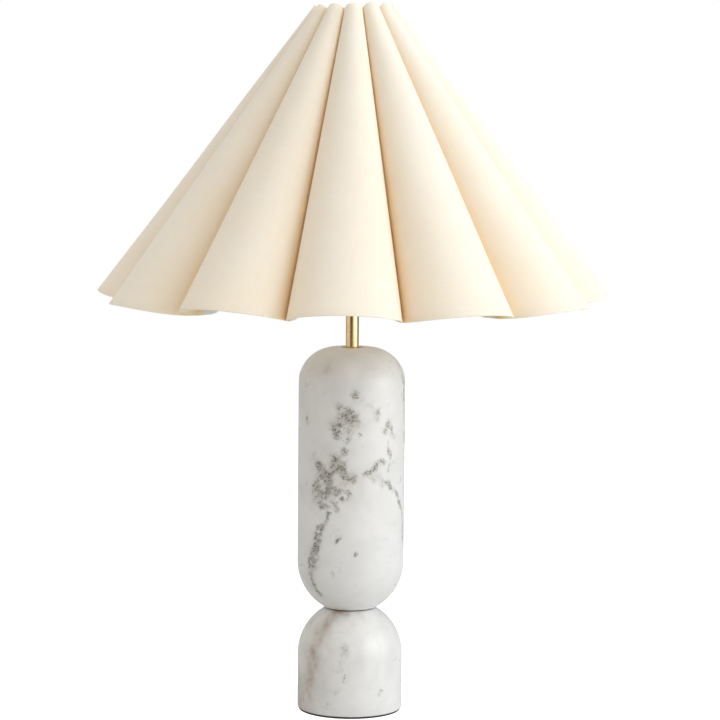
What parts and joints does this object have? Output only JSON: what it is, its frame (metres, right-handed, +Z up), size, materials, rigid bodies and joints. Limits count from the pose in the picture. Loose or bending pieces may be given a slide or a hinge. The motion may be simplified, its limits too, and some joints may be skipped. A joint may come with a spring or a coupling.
{
  "type": "table lamp",
  "caption": "Table lamp of stacked marble stones with a slim brass rod and a wide cone shade of pinched cloth flutes that turns on its harp.",
  "frame": {"origin": "centre of the foot pad's underside, the face that the lamp stands on", "axes": "+Z up along the rod, -Y towards the front of the lamp, where one flute faces the viewer and the switch knob points, +Y towards the cord inlet"},
  "size_m": [0.4968, 0.4968, 0.69],
  "materials": {
    "marble": "honed",
    "pad_rubber": "matte",
    "washer_rubber": "matte",
    "brass": "polished",
    "steel": "plated",
    "sleeve_board": "matte",
    "black_plastic": "satin",
    "cap_aluminium": "satin",
    "bulb_glass": "frosted white",
    "frame_wire": "satin",
    "shade_cloth": "stiffened, matte"
  },
  "bodies": {
    "lamp": {"foot_pad": "pad_rubber", "lower_stone": "marble", "upper_stone": "marble", "recess_washer": "steel", "lock_washer": "steel", "pipe_nut": "brass", "cord_bushing": "brass", "threaded_pipe": "steel", "stone_washer": "washer_rubber", "seat_ring": "brass", "brass_rod": "brass", "check_ring": "brass", "harp_saddle": "brass", "harp_wire": "brass", "socket_cap": "brass", "cap_screw": "steel", "socket_shell": "brass", "insulating_sleeve": "sleeve_board", "switch_block": "black_plastic", "terminal_screws": "brass", "socket_insert": "cap_aluminium", "centre_contact": "brass", "bulb_cap": "cap_aluminium", "bulb_glass": "bulb_glass"},
    "shade": {"harp_stud": "brass", "spider_frame": "frame_wire", "hem_ring": "frame_wire", "shade_gores": "shade_cloth"},
    "finial": {"finial": "brass"},
    "switch": {"switch_stem": "brass", "turn_knob": "black_plastic"},
    "ferrule_left": {"ferrule_left": "brass"},
    "ferrule_right": {"ferrule_right": "brass"}
  },
  "joints": [
    {"name": "shade_turn", "type": "hinge", "parent": "lamp", "child": "shade", "pos_m": [0, 0, 0.661], "axis": [0, 0, 1], "continuous": true},
    {"name": "finial_turn", "type": "hinge", "parent": "shade", "child": "finial", "pos_m": [0, 0, 0.667], "axis": [0, 0, 1], "range_deg": [0, 360]},
    {"name": "switch_turn", "type": "hinge", "parent": "lamp", "child": "switch", "pos_m": [0, -0.02, 0.4538], "axis": [0, -1, 0], "continuous": true},
    {"name": "ferrule_left_lift", "type": "slide", "parent": "lamp", "child": "ferrule_left", "axis": [0, 0, 1], "range_m": [0, 0.012]},
    {"name": "ferrule_right_lift", "type": "slide", "parent": "lamp", "child": "ferrule_right", "axis": [0, 0, 1], "range_m": [0, 0.012]}
  ]
}
